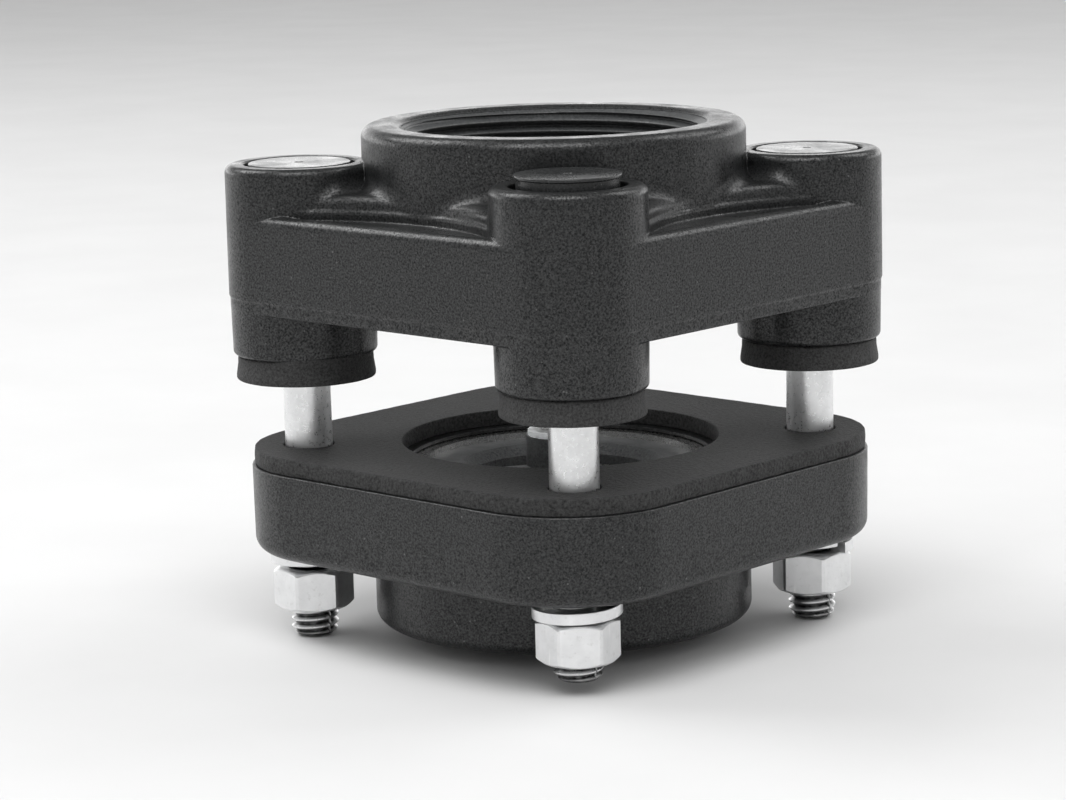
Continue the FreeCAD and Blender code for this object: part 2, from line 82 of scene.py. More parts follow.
# a scallop's centre lies on an axis of the part, at the first number; the second is its radius
LEDGE_SCALLOP, WEB_SCALLOP = (85.0, 46.2), (85.2, 47.0)
PART_LINE, SKIRT_BOTTOM, PART_STEP = 17.0, 14.3, 0.25
DECK_UNDERSIDE, SKIRT_WALL, CAVITY_DRAFT = 29.2, 4.0, 0.012
RECESS_RADIUS, RECESS_FLOOR = 11.1, 33.7
BOLT_HOLE_RADIUS = 5.15
UPPER_MOUTH, UPPER_BORE = 31.8, 27.5
UPPER_THREAD = (30.2, 49.6)
# lower flange
LOWER_HUB_RADIUS, LOWER_HUB_ROUND = 38.2, 2.2
PLATE_CORNER, PLATE_ROUND = 23.0, 3.0
LOWER_MOUTH, CHAMBER_RADIUS = 31.0, 27.8
LOWER_THREAD = (-49.4, -32.6)
SEAT_POCKET, SEAT_BOTTOM, SEAT_TOP = 30.0, -24.5, -19.5
SNAP_GROOVE_RADIUS, SNAP_GROOVE_WIDTH = 31.4, 1.25
GASKET_BORE = 32.0
# both ports: the depth over which the mouth flares, and how deep that cut goes
MOUTH_DEPTH, MOUTH_CUT = 2.0, 3.5
# threads and fasteners
PIPE_CREST, PIPE_ROOT, PIPE_PITCH = 28.3, 29.9, 25.4 / 11.5
# radius of the hole that a port's threaded lining stands in
THREAD_HOLE = PIPE_ROOT + 0.15
BOLT_RADIUS, BOLT_ROOT, BOLT_PITCH, BOLT_THREAD = 4.7625, 3.87, 25.4 / 16, 25.4
ROWS_PER_PITCH = 10
HEAD_BOTTOM, HEAD_TOP = BOSS_TOP - 7.8, BOSS_TOP - 2.2
NUT_ACROSS_FLATS, HEXAGON_SEGMENTS = 14.29, 144
WASHER_INNER, WASHER_OUTER, WASHER_THICKNESS, WASHER_FREE_HEIGHT = 5.06, 8.65, 2.3, 4.0
# the front bolt stands higher than the others, with its cap
LIFTS = {"front": 2.1, "right": 0, "back": 0, "left": 0}
# degrees, for the nuts' corners and the washers' splits
NUT_TURNS = {"front": -15, "right": 25, "back": 11, "left": -9}
WASHER_TURNS = {"front": 200, "right": 0, "back": 90, "left": -5}
# the cells that the mouldings and the gasket are sampled on, and half the grid's width
MOULDING_STEP, GASKET_STEP, GRID_HALF = 0.42, 0.36, 52
# a blend of this radius is a sharp corner
SHARP = 1e-6


# ---------------------------------------------------------------- meshes

def link_new(name, data):
    """An object of that name for a mesh, a lamp or a camera, in the scene."""
    item = bpy.data.objects.new(name, data)
    bpy.context.scene.collection.objects.link(item)
    return item


def new_piece(name, body, material, replaced, mesh):
    """A piece riding on a CAD body, shown in place of CAD nodes."""
    piece = link_new(name, mesh)
    mesh.materials.append(material)
    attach(piece, body)
    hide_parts(*replaced)
    return piece


def fill_mesh(mesh, vertices, faces):
    """Fills an empty mesh with vertices in metres and faces that all have as many corners."""
    count, corners = faces.shape
    mesh.vertices.add(len(vertices))
    mesh.vertices.foreach_set("co", vertices.astype(np.float32).ravel())
    mesh.loops.add(count * corners)
    mesh.loops.foreach_set("vertex_index", faces.ravel())
    mesh.polygons.add(count)
    mesh.polygons.foreach_set("loop_start", np.arange(0, count * corners, corners))
    mesh.update(calc_edges=True)
    mesh.polygons.foreach_set("use_smooth", np.ones(count, bool))
    mesh.validate()


def sheet_faces(rows, columns, wrap_rows, wrap_columns):
    """Quads over a grid of points, closed on itself in either direction."""
    last_row = rows if wrap_rows else rows - 1
    last_column = columns if wrap_columns else columns - 1
    i, j = np.meshgrid(np.arange(last_row), np.arange(last_column), indexing="ij")
    i, j = i.ravel(), j.ravel()
    ahead, beside = (i + 1) % rows, (j + 1) % columns
    return np.stack(
        [i * columns + j, ahead * columns + j, ahead * columns + beside, i * columns + beside], 1
    )


def weld(vertices, faces):
    """Joins points that coincide, drops faces that vanish and turns the solid outside out."""
    tolerance = 1e-4
    work = bmesh.new()
    points = [work.verts.new(v) for v in vertices]
    for face in faces:
        work.faces.new([points[k] for k in face])
    bmesh.ops.remove_doubles(work, verts=work.verts, dist=tolerance)
    bmesh.ops.dissolve_degenerate(work, edges=work.edges, dist=tolerance)
    bmesh.ops.recalc_face_normals(work, faces=work.faces)
    if work.calc_volume(signed=True) < 0:
        bmesh.ops.reverse_faces(work, faces=work.faces)
    return work


def loft_piece(name, body, material, replaced, solids, crease=50):
    """One piece from several grids of points, each given as (points, wrap_rows, wrap_columns)."""
    mesh = bpy.data.meshes.new(name)
    whole = bmesh.new()
    for points, wrap_rows, wrap_columns in solids:
        rows, columns = points.shape[:2]
        faces = sheet_faces(rows, columns, wrap_rows, wrap_columns)
        work = weld(points.reshape(-1, 3), faces.tolist())
        part = bpy.data.meshes.new("part")
        work.to_mesh(part)
        work.free()
        whole.from_mesh(part)
        bpy.data.meshes.remove(part)
    bmesh.ops.scale(whole, vec=(MM, MM, MM), verts=whole.verts)
    for face in whole.faces:
        face.smooth = True
    whole.to_mesh(mesh)
    whole.free()
    mesh.set_sharp_from_angle(angle=math.radians(crease))
    piece = new_piece(name, body, material, replaced, mesh)
    shading = piece.modifiers.new("even_shading", "WEIGHTED_NORMAL")
    shading.keep_sharp = True
    return piece


def rounded(points, radii, steps=4):
    """A closed outline whose corners are rounded; one radius, or one for each corner."""
    points = [np.array(p, float) for p in points]
    radii = [radii] * len(points) if np.isscalar(radii) else radii
    outline = []
    for k, (corner, radius) in enumerate(zip(points, radii)):
        before, after = points[k - 1] - corner, points[(k + 1) % len(points)] - corner
        before_length, after_length = np.linalg.norm(before), np.linalg.norm(after)
        if radius <= 0:
            outline.append(corner)
            continue
        before, after = before / before_length, after / after_length
        half = math.acos(np.clip(before @ after, -1, 1)) / 2
        reach = min(radius / math.tan(half), before_length * 0.45, after_length * 0.45)
        radius = reach * math.tan(half)
        inward = (before + after) / np.linalg.norm(before + after)
        centre = corner + inward * radius / math.sin(half)
        start, end = corner + before * reach - centre, corner + after * reach - centre
        sweep = math.atan2(start[0] * end[1] - start[1] * end[0], start @ end)
        for step in range(steps + 1):
            turn = sweep * step / steps
            cos, sin = math.cos(turn), math.sin(turn)
            spoke = (start[0] * cos - start[1] * sin, start[0] * sin + start[1] * cos)
            outline.append(centre + np.array(spoke))
    return np.array(outline)


def full_turn(segments):
    """That many angles, spread evenly round a circle."""
    return 2 * math.pi * np.arange(segments) / segments


def upright(angles, radius, height, centre=(0, 0)):
    """Points at those angles, radii and heights about an upright axis."""
    x, y = centre[0] + radius * np.cos(angles), centre[1] + radius * np.sin(angles)
    return np.stack(np.broadcast_arrays(x, y, height), -1)


def turned(outline, centre, segments, wobble=None):
    """Points of an outline of (radius, height) turned about an upright axis."""
    angles = full_turn(segments)[:, None]
    radius, height = outline[:, 0][None], outline[:, 1][None]
    if wobble:
        radius, height = wobble(angles, radius, height)
    return upright(angles, radius, height, centre)


def at_bolt(corner):
    """Place of a corner's bolt."""
    x, y = CORNERS[corner]
    return x * BOLT_OFFSET, y * BOLT_OFFSET


def thread_grid(low, high, pitch, radius_at, segments):
    """Angles, heights and radii that follow the thread's helix, cut off square at both ends.

    Known fault: pieces join the last angle to the first without a shift of one pitch, so each
    thread has a seam one segment wide at angle 0.
    """
    turns = int((high - low) / pitch) + 3
    rows = np.arange(turns * ROWS_PER_PITCH + 1) / ROWS_PER_PITCH
    angles = np.repeat(full_turn(segments)[:, None], len(rows), 1)
    height = np.clip(low + (rows[None, :] + angles / (2 * math.pi) - 1) * pitch, low, high)
    return angles, height, radius_at(angles, height)


def capped_coil(grid):
    """A tube's rows of points, closed at both ends by the middles of its end rows."""
    ends = [np.repeat(row.mean(0)[None, None], len(row), 1) for row in (grid[0], grid[-1])]
    return np.concatenate([ends[0], grid, ends[1]], 0), False, True


def vee(angles, height, pitch, root, crest, flat=0.16):
    """Radius of a thread with flats at its root and crest."""
    along = (height / pitch - angles / (2 * math.pi)) % 1
    ramp = np.clip((np.abs(along - 0.5) * 2 - flat) / (1 - 2 * flat), 0, 1)
    return root + (crest - root) * ramp


# ---------------------------------------------------------------- solids from distances

def blend_or(a, b, radius):
    """Union with a fillet of that radius."""
    over_a, over_b = np.maximum(radius - a, 0), np.maximum(radius - b, 0)
    return np.maximum(radius, np.minimum(a, b)) - np.hypot(over_a, over_b)


def blend_and(a, b, radius):
    """Intersection with an edge of that radius."""
    over_a, over_b = np.maximum(radius + a, 0), np.maximum(radius + b, 0)
    return np.minimum(-radius, np.maximum(a, b)) + np.hypot(over_a, over_b)


def blend_cut(a, b, radius):
    """The first less the second, with an edge of that radius."""
    return blend_and(a, -b, radius)


def round_square(x, y, half, corner):
    """Distance to a square with round corners."""
    over_x, over_y = np.abs(x) - (half - corner), np.abs(y) - (half - corner)
    outside = np.hypot(np.maximum(over_x, 0), np.maximum(over_y, 0))
    return outside + np.minimum(np.maximum(over_x, over_y), 0) - corner


def smooth_step(value):
    """0 up to 0, 1 from 1 on, and an even curve between."""
    value = np.clip(value, 0, 1)
    return value * value * (3 - 2 * value)


def cut_port(shape, axis, into_thread, behind_face, bore_radius, mouth_radius):
    """Cuts a pipe port: a plain bore, a wider length that takes the thread, and a flared mouth."""
    threaded = smooth_step(into_thread / 0.4 + 0.5)
    shape = blend_cut(shape, axis - (bore_radius + (THREAD_HOLE - bore_radius) * threaded), 0.4)
    flare = (mouth_radius - PIPE_CREST) / MOUTH_DEPTH
    mouth = (axis - mouth_radius + behind_face * flare) / math.hypot(1, flare)
    return blend_cut(shape, np.maximum(mouth, behind_face - MOUTH_CUT), 0.35)


def upper_flange_distance(x, y, z):
    """Distance to the upper moulding, which is alike in all four quarters."""
    x, y = np.abs(x), np.abs(y)
    axis = np.hypot(x, y)
    bolt = np.hypot(x - BOLT_OFFSET, y - BOLT_OFFSET)
    below = smooth_step((PART_LINE + 0.35 - z) / 0.7)
    witness = 0.05 * np.exp(-((z - PART_LINE) / 0.3) ** 2)
    draft = np.maximum(PART_LINE - z, 0) * BOSS_DRAFT

    # skirt, whose rim stands a little above the deck
    inset = PART_STEP * below - witness
    skirt_plan = round_square(x, y, HALF_SIDE - inset, BOSS_RADIUS - inset)
    rim = DECK_TOP + LIP * smooth_step((skirt_plan + 5) / 2.8)
    skirt = blend_and(skirt_plan, z - rim, 2.0)

    # webs from the hub to the bosses, stepped and scalloped
    cut_corner = (x + y - WEB_CORNER) / math.sqrt(2)
    plan = np.maximum(np.maximum(x, y) - WEB_HALF_SIDE, cut_corner)
    ledge_plan, web_plan = (
        np.maximum(plan, radius - np.minimum(np.hypot(x - away, y), np.hypot(x, y - away)))
        for away, radius in (LEDGE_SCALLOP, WEB_SCALLOP)
    )
    ledge = blend_and(ledge_plan, z - LEDGE_TOP, 1.0)
    web = blend_and(web_plan, z - WEB_TOP, 2.3)

    hub = blend_and(axis - HUB_RADIUS, z - HUB_TOP, HUB_ROUND)
    boss_radius = BOSS_RADIUS - inset - draft
    boss = blend_and(bolt - boss_radius, z - BOSS_TOP, 1.6)

    # the fillets are wide on the webs and narrow on the deck, and the bosses have none outside
    inboard = smooth_step((z - DECK_TOP + 1) / 1.5) * smooth_step((0.3 - skirt_plan) / 2.5)
    fillet = 0.5 + 2.8 * smooth_step((0.5 - web_plan) / 4)
    shape = blend_or(ledge, web, 0.4)
    shape = blend_or(shape, skirt, 0.3)
    hub_on_web = blend_or(shape, hub, fillet)
    boss_on_web = blend_or(shape, boss, np.maximum(fillet * inboard, SHARP))
    shape = np.minimum(np.minimum(hub_on_web, boss_on_web), blend_or(hub, boss, 0.6))

    # open underside, with the hub's tube and the legs standing in it
    shape = blend_and(shape, SKIRT_BOTTOM - z, 0.5)
    wall_draft = (z - SKIRT_BOTTOM) * CAVITY_DRAFT
    cavity_plan = round_square(x, y, HALF_SIDE - SKIRT_WALL, BOSS_RADIUS - SKIRT_WALL) + wall_draft
    cavity = blend_and(cavity_plan, z - DECK_UNDERSIDE, 1.5)
    shape = blend_cut(shape, cavity, 0.5)
    in_deck = z - DECK_UNDERSIDE - 2
    tube = np.maximum(axis - HUB_TUBE_RADIUS + wall_draft, in_deck)
    shape = blend_or(shape, blend_and(tube, SKIRT_BOTTOM - z, 0.5), 1.2)
    leg = np.maximum(blend_and(bolt - boss_radius, LEG_BOTTOM - z, 0.95), in_deck)
    inside = np.clip(-cavity_plan / 2, 0, 1)
    shape = blend_or(shape, leg, np.maximum(1.2 * inside, SHARP))

    # port, recesses for the bolt heads, and bolt holes
    shape = cut_port(shape, axis, z - UPPER_THREAD[0], HUB_TOP - z, UPPER_BORE, UPPER_MOUTH)
    recess = np.maximum(bolt - RECESS_RADIUS, RECESS_FLOOR - z)
    shape = blend_cut(shape, recess, 0.35)
    return blend_cut(shape, bolt - BOLT_HOLE_RADIUS, 0.35)


def lower_flange_distance(x, y, z):
    """Distance to the lower moulding: a plate with round corners on a round hub."""
    x, y = np.abs(x), np.abs(y)
    axis = np.hypot(x, y)
    bolt = np.hypot(x - BOLT_OFFSET, y - BOLT_OFFSET)
    draft = (PLATE_TOP - z) * 0.008
    plate = round_square(x, y, HALF_SIDE - draft, PLATE_CORNER)
    plate = blend_and(plate, PLATE_BOTTOM - z, PLATE_ROUND)
    plate = blend_and(plate, z - PLATE_TOP, 0.4)
    hub = blend_and(axis - LOWER_HUB_RADIUS, LOWER_HUB_BOTTOM - z, LOWER_HUB_ROUND)
    hub = np.maximum(hub, z - PLATE_BOTTOM - 4)
    shape = blend_or(plate, hub, 1.0)

    # port, pocket for the valve's seat with its snap ring's groove, and bolt holes
    into_thread, behind_face = LOWER_THREAD[1] - z, z - LOWER_HUB_BOTTOM
    shape = cut_port(shape, axis, into_thread, behind_face, CHAMBER_RADIUS, LOWER_MOUTH)
    shape = blend_cut(shape, np.maximum(axis - SEAT_POCKET, SEAT_BOTTOM - z), 0.3)
    groove = np.maximum(SEAT_TOP - z, z - SEAT_TOP - SNAP_GROOVE_WIDTH)
    shape = np.maximum(shape, -np.maximum(axis - SNAP_GROOVE_RADIUS, groove))
    return blend_cut(shape, bolt - BOLT_HOLE_RADIUS, 0.35)


def gasket_distance(x, y, z):
    """A sheet squeezed out a little at mid height, cut not quite straight."""
    bulge = 0.15 * (1 - ((z - (GASKET_TOP + PLATE_TOP) / 2) / 1.7) ** 2)
    ripple = 0.06 * np.sin(x * 0.9) * np.sin(y * 1.1) + 0.05 * np.sin((x + y) * 0.37)
    plan = round_square(x, y, HALF_SIDE - 0.6, PLATE_CORNER - 0.6) - bulge - ripple
    sheet = blend_and(plan, z - GASKET_TOP, 0.25)
    sheet = blend_and(sheet, PLATE_TOP - z, 0.25)
    x, y = np.abs(x), np.abs(y)
    sheet = blend_cut(sheet, np.hypot(x, y) - GASKET_BORE, 0.25)
    bolt = np.hypot(x - BOLT_OFFSET, y - BOLT_OFFSET)
    return blend_cut(sheet, bolt - BOLT_HOLE_RADIUS, 0.2)


def sample(distance, low, high, step, mirrored):
    """Distances on a grid, worked out on one quarter where the solid is mirrored."""
    axes = [np.arange(a, b + step, step) for a, b in zip(low, high)]
    if not mirrored:
        return distance(*np.meshgrid(*axes, indexing="ij")), [a[0] for a in axes]
    count = int(high[0] / step) + 2
    half = (np.arange(count) + 0.5) * step
    quarter = distance(*np.meshgrid(half, half, axes[2], indexing="ij"))
    field = np.concatenate([quarter[::-1], quarter], 0)
    field = np.concatenate([field[:, ::-1], field], 1)
    return field, [-half[-1], -half[-1], axes[2][0]]


def surface_net(field, origin, step):
    """Vertices and quads of the surface where the distance is zero."""
    inside = field < 0
    corners = [(a, b, c) for a in (0, 1) for b in (0, 1) for c in (0, 1)]
    shape = np.array(field.shape) - 1

    def shifted(values, offset):
        return values[tuple(slice(o, o + n) for o, n in zip(offset, shape))]

    filled = sum(shifted(inside, c).astype(np.int8) for c in corners)
    crossed = (filled > 0) & (filled < 8)
    number = np.full(crossed.shape, -1, np.int64)
    number[crossed] = np.arange(crossed.sum())
    cells = np.argwhere(crossed)
    values = {c: shifted(field, c)[crossed] for c in corners}
    total, hits = np.zeros((len(cells), 3)), np.zeros(len(cells))
    for start in corners:
        for axis in range(3):
            if start[axis]:
                continue
            end = tuple(1 if k == axis else v for k, v in enumerate(start))
            a, b = values[start], values[end]
            cut = (a < 0) != (b < 0)
            share = np.where(cut, a / np.where(cut, a - b, 1), 0)
            place = np.repeat(np.array(start, float)[None], len(cells), 0)
            place[:, axis] += share
            total += np.where(cut[:, None], place, 0)
            hits += cut
    vertices = np.array(origin) + step * (cells + total / hits[:, None])

    quads = []
    for axis in range(3):
        first, second = (axis + 1) % 3, (axis + 2) % 3
        low, high = [slice(None)] * 3, [slice(None)] * 3
        low[axis], high[axis] = slice(0, -1), slice(1, None)
        starts, ends = inside[tuple(low)], inside[tuple(high)]
        edges = np.argwhere(starts != ends)
        keep = (edges[:, first] > 0) & (edges[:, second] > 0)
        keep &= (edges[:, first] < shape[first]) & (edges[:, second] < shape[second])
        edges = edges[keep]
        outward = starts[tuple(edges.T)]
        ring = []
        for back_first, back_second in ((1, 1), (0, 1), (0, 0), (1, 0)):
            cell = edges.copy()
            cell[:, first] -= back_first
            cell[:, second] -= back_second
            ring.append(number[tuple(cell.T)])
        ring = np.stack(ring, 1)
        ring[~outward] = ring[~outward][:, ::-1]
        quads.append(ring)
    return vertices, np.concatenate(quads)


def gradient(distance, points, reach=0.02):
    """Slope of the distance at points, measured over reach to either side."""
    slopes = []
    for axis in range(3):
        ahead, behind = points.copy(), points.copy()
        ahead[:, axis] += reach
        behind[:, axis] -= reach
        slopes.append((distance(*ahead.T) - distance(*behind.T)) / (2 * reach))
    return np.stack(slopes, 1)


def settle(distance, points, limit, rounds=3):
    """Moves points onto the surface along the distance's slope."""
    for _ in range(rounds):
        slope = gradient(distance, points)
        size = np.maximum((slope ** 2).sum(1), 0.05)
        move = (distance(*points.T) / size)[:, None] * slope
        length = np.linalg.norm(move, axis=1)[:, None]
        points = points - move * np.minimum(1, limit / np.maximum(length, 1e-9))
    return points


def moulded_piece(name, body, material, replaced, distance, bottom, top, step, faces_wanted,
                  mirrored=True):
    """A piece whose surface comes from a distance function, thinned where it is plain."""
    low, high = (-GRID_HALF, -GRID_HALF, bottom - 1), (GRID_HALF, GRID_HALF, top + 1)
    field, origin = sample(distance, low, high, step, mirrored)
    vertices, quads = surface_net(field, origin, step)
    vertices = settle(distance, vertices, step * 0.5)
    mesh = bpy.data.meshes.new(name)
    fill_mesh(mesh, vertices * MM, quads.astype(np.int32))
    piece = new_piece(name, body, material, replaced, mesh)
    if 2 * len(quads) > faces_wanted:
        thin = piece.modifiers.new("thin", "DECIMATE")
        thin.ratio = faces_wanted / (2 * len(quads))
        graph = bpy.context.evaluated_depsgraph_get()
        mesh = bpy.data.meshes.new_from_object(piece.evaluated_get(graph), depsgraph=graph)
        piece.modifiers.remove(thin)
        old, piece.data = piece.data, mesh
        bpy.data.meshes.remove(old)
        mesh.name = name
    mesh = piece.data
    places = np.zeros(len(mesh.vertices) * 3)
    mesh.vertices.foreach_get("co", places)
    points = settle(distance, places.reshape(-1, 3) / MM, step * 0.3, 2)
    mesh.vertices.foreach_set("co", (points * MM).ravel())
    mesh.polygons.foreach_set("use_smooth", np.ones(len(mesh.polygons), bool))
    slope = gradient(distance, points, 0.05)
    slope /= np.maximum(np.linalg.norm(slope, axis=1), 1e-9)[:, None]
    mesh.normals_split_custom_set_from_vertices(slope)
    mesh.update()
    return piece


# ---------------------------------------------------------------- materials

def add_node(tree, kind, inputs=None, **settings):
    """A new node; each input gets a value, or a link when it's given another node's output."""
    node = tree.nodes.new(kind)
    for key, setting in settings.items():
        setattr(node, key, setting)
    for key, item in (inputs or {}).items():
        if isinstance(item, bpy.types.NodeSocket):
            tree.links.new(item, node.inputs[key])
        else:
            node.inputs[key].default_value = item
    return node


class Graph:
    """A material's node tree, with short calls for adding nodes."""

    def __init__(self, name):
        self.material = bpy.data.materials.new(name)
        self.material.use_nodes = True
        self.tree = self.material.node_tree
        self.tree.nodes.clear()
        self.place = self.add("ShaderNodeTexCoord").outputs["Object"]

    def add(self, kind, inputs=None, **settings):
        return add_node(self.tree, kind, inputs, **settings)

    def noise(self, size_mm, detail=3.0, roughness=0.55, stretch=None):
        """Noise whose grains are about size_mm across, from 0 to 1."""
        place = self.place
        if stretch:
            place = self.add("ShaderNodeMapping", {"Vector": place, "Scale": stretch}).outputs[0]
        inputs = {"Vector": place, "Scale": 1 / (size_mm * MM), "Detail": detail,
                  "Roughness": roughness}
        return self.add("ShaderNodeTexNoise", inputs).outputs["Fac"]

    def cells(self, size_mm):
        """Distance to the middle of the nearest of many cells about size_mm across."""
        inputs = {"Vector": self.place, "Scale": 1 / (size_mm * MM)}
        return self.add("ShaderNodeTexVoronoi", inputs).outputs["Distance"]

    def remap(self, value, low, high, to_low=0.0, to_high=1.0):
        inputs = {"Value": value, "From Min": low, "From Max": high, "To Min": to_low,
                  "To Max": to_high}
        return self.add("ShaderNodeMapRange", inputs).outputs["Result"]

    def mix(self, share, first, second):
        """Colour between two colours; the numbers are the colour sockets of a mix node."""
        inputs = {0: share, 6: first, 7: second}
        return self.add("ShaderNodeMix", inputs, data_type="RGBA").outputs[2]

    def math(self, operation, first, second=0.0):
        return self.add("ShaderNodeMath", {0: first, 1: second}, operation=operation).outputs[0]

    def bump(self, height, depth_mm, under=None):
        inputs = {"Height": height, "Distance": depth_mm * MM, "Strength": 1.0}
        if under is not None:
            inputs["Normal"] = under
        return self.add("ShaderNodeBump", inputs).outputs["Normal"]

    def bolt_radius(self):
        """Distance from the axis of the nearest bolt."""
        sides = self.add("ShaderNodeSeparateXYZ", {0: self.place}).outputs
        squares = []
        for side in sides[:2]:
            off = self.math("SUBTRACT", self.math("ABSOLUTE", side), BOLT_OFFSET * MM)
            squares.append(self.math("MULTIPLY", off, off))
        return self.math("SQRT", self.math("ADD", *squares))

    def edge_wear(self):
        """1 on convex edges, broken up by noise, and 0 elsewhere."""
        pointed = self.add("ShaderNodeNewGeometry").outputs["Pointiness"]
        worn = self.remap(pointed, 0.52, 0.62)
        return self.math("MULTIPLY", worn, self.remap(self.noise(2.5), 0.35, 0.65, 0.3, 1.0))

    def finish(self, inputs):
        shader = self.add("ShaderNodeBsdfPrincipled", inputs)
        self.add("ShaderNodeOutputMaterial", {"Surface": shader.outputs[0]})
        return self.material


def rgb(level, tint=(1, 1, 1)):
    """A grey of that level, tinted, with full alpha."""
    return tuple(level * t for t in tint) + (1,)


def moulded_plastic(name, level, roughness, grain=1.0):
    """Glass-filled black plastic with a spark-eroded grain, scuffs and a few pale specks."""
    g = Graph(name)
    cool = (0.96, 1.0, 1.02)
    clouds = g.remap(g.noise(9, 4), 0.3, 0.7)
    colour = g.mix(clouds, rgb(level * 0.75, cool), rgb(level * 1.2, cool))
    mottle = g.remap(g.noise(0.5, 3, 0.7), 0.36, 0.66)
    colour = g.mix(mottle, colour, rgb(level * 3.6, cool))
    patches = g.remap(g.noise(1.7, 3, 0.6), 0.4, 0.65)
    colour = g.mix(g.math("MULTIPLY", patches, 0.6), colour, rgb(level * 2.6, cool))
    specks = g.remap(g.cells(1.9), 0.05, 0.13, 1.0, 0.0)
    specks = g.math("MULTIPLY", specks, g.remap(g.noise(5, 1), 0.5, 0.62))
    colour = g.mix(g.math("MULTIPLY", specks, 0.6), colour, rgb(0.16))
    colour = g.mix(g.math("MULTIPLY", g.edge_wear(), 0.5), colour, rgb(level * 4 + 0.02))
    shine = g.remap(g.noise(6, 3), 0.3, 0.7, roughness - 0.06, roughness + 0.08)
    shine = g.math("ADD", shine, g.remap(mottle, 0, 1, -0.04, 0.05))
    gloss = g.remap(g.noise(0.42, 3, 0.65), 0.36, 0.64, 0.4 - 0.32 * grain, 0.4 + 0.32 * grain)
    relief = g.bump(g.noise(0.34, 3, 0.6), 0.01 * grain)
    relief = g.bump(g.noise(2.2, 3), 0.02 * grain, under=relief)
    relief = g.bump(g.noise(16, 2), 0.1 * grain, under=relief)
    return g.finish({"Base Color": colour, "Roughness": shine, "Specular IOR Level": gloss,
                     "Normal": relief})


def black_rubber(name, level, granule_mm, depth_mm):
    """Dull rubber pressed from granules, greyer where they show."""
    g = Graph(name)
    clouds = g.remap(g.noise(4, 3), 0.3, 0.7)
    colour = g.mix(clouds, rgb(level * 0.75), rgb(level * 1.25))
    grains = g.remap(g.noise(granule_mm, 4, 0.75), 0.35, 0.68)
    colour = g.mix(g.math("MULTIPLY", grains, 0.6), colour, rgb(level * 3.2))
    colour = g.mix(g.math("MULTIPLY", g.edge_wear(), 0.35), colour, rgb(level * 4))
    shine = g.remap(grains, 0, 1, 0.62, 0.85)
    relief = g.bump(g.cells(granule_mm * 1.3), depth_mm)
    relief = g.bump(g.noise(granule_mm * 0.8, 4, 0.7), depth_mm, under=relief)
    gloss = g.remap(g.noise(granule_mm, 4, 0.7), 0.36, 0.64, 0.15, 0.65)
    return g.finish({"Base Color": colour, "Roughness": shine, "Specular IOR Level": gloss,
                     "Normal": relief})


def plated_steel(name, level, roughness, tint=(1, 1.005, 1.01), turned_lines=False, roots=None):
    """Bright steel; roots gives the radii over which a bolt's thread gets painted shade."""
    g = Graph(name)
    clouds = g.remap(g.noise(3, 4), 0.3, 0.7)
    colour = g.mix(clouds, rgb(level * 0.93, tint), rgb(level * 1.04, tint))
    stains = g.remap(g.noise(1.1, 3, 0.65), 0.58, 0.75)
    colour = g.mix(g.math("MULTIPLY", stains, 0.35), colour, rgb(level * 0.6, (1, 0.99, 0.95)))
    colour = g.mix(g.math("MULTIPLY", g.edge_wear(), 0.8), colour, rgb(min(1.0, level * 1.25)))
    if roots:
        # painted shade: the thread is painted darker towards its root, as shade in its hollows
        painted_root_shade = g.remap(g.bolt_radius(), roots[0] * MM, roots[1] * MM, 1.0, 0.0)
        painted_root_shade = g.math("MULTIPLY", painted_root_shade, g.remap(g.noise(1.3), 0.3, 0.6, 0.75, 1.0))
        colour = g.mix(painted_root_shade, colour, rgb(level * 0.04))
    shine = g.remap(g.noise(0.8, 4, 0.7), 0.3, 0.7, roughness - 0.06, roughness + 0.1)
    stretch = (1, 1, 14) if turned_lines else (1, 1, 0.12)
    relief = g.bump(g.noise(0.5, 2, 0.5, stretch), 0.002)
    relief = g.bump(g.noise(1.6, 3), 0.014, under=relief)
    return g.finish({"Base Color": colour, "Roughness": shine, "Normal": relief, "Metallic": 1.0})


PLASTIC = moulded_plastic("moulded_plastic", 0.006, 0.31)
LOWER_PLASTIC = moulded_plastic("lower_moulded_plastic", 0.0065, 0.34, 0.85)
CAP_PLASTIC = moulded_plastic("cap_plastic", 0.011, 0.26, 0.25)
# painted light: the port's threads get a lighter copy of the moulding's plastic, lightening the
# shade inside the port
LIGHTENED_THREAD_PLASTIC = moulded_plastic("lightened_thread_plastic", 0.022, 0.42, 0.5)
VALVE_PLASTIC = moulded_plastic("valve_plastic", 0.045, 0.4, 0.5)
BUSH_PLASTIC = moulded_plastic("bush_plastic", 0.62, 0.42, 0.3)
LEG_RUBBER = black_rubber("leg_rubber", 0.018, 0.45, 0.12)
GASKET_RUBBER = black_rubber("gasket_rubber", 0.014, 0.6, 0.1)
VALVE_RUBBER = black_rubber("valve_rubber", 0.03, 0.3, 0.04)
ZINC = plated_steel("zinc_steel", 0.82, 0.35)
# the bolts' threads get painted shade in their hollows
BOLT_ZINC = plated_steel("bolt_zinc", 0.78, 0.3, roots=(BOLT_ROOT + 0.1, BOLT_RADIUS - 0.1))
STAINLESS = plated_steel("stainless_steel", 0.62, 0.26, (1, 0.985, 0.96), turned_lines=True)


# ---------------------------------------------------------------- mouldings

moulded_piece(
    "upper_moulding", "housing", PLASTIC, ["upper_flange"],
    upper_flange_distance, LEG_BOTTOM, HUB_TOP, MOULDING_STEP, 196000,
)
moulded_piece(
    "lower_moulding", "clamp", LOWER_PLASTIC, ["lower_flange"],
    lower_flange_distance, LOWER_HUB_BOTTOM, PLATE_TOP, MOULDING_STEP, 170000,
)
moulded_piece(
    "gasket_sheet", "clamp", GASKET_RUBBER, ["flange_gasket"],
    gasket_distance, PLATE_TOP, GASKET_TOP, GASKET_STEP, 90000, mirrored=False,
)


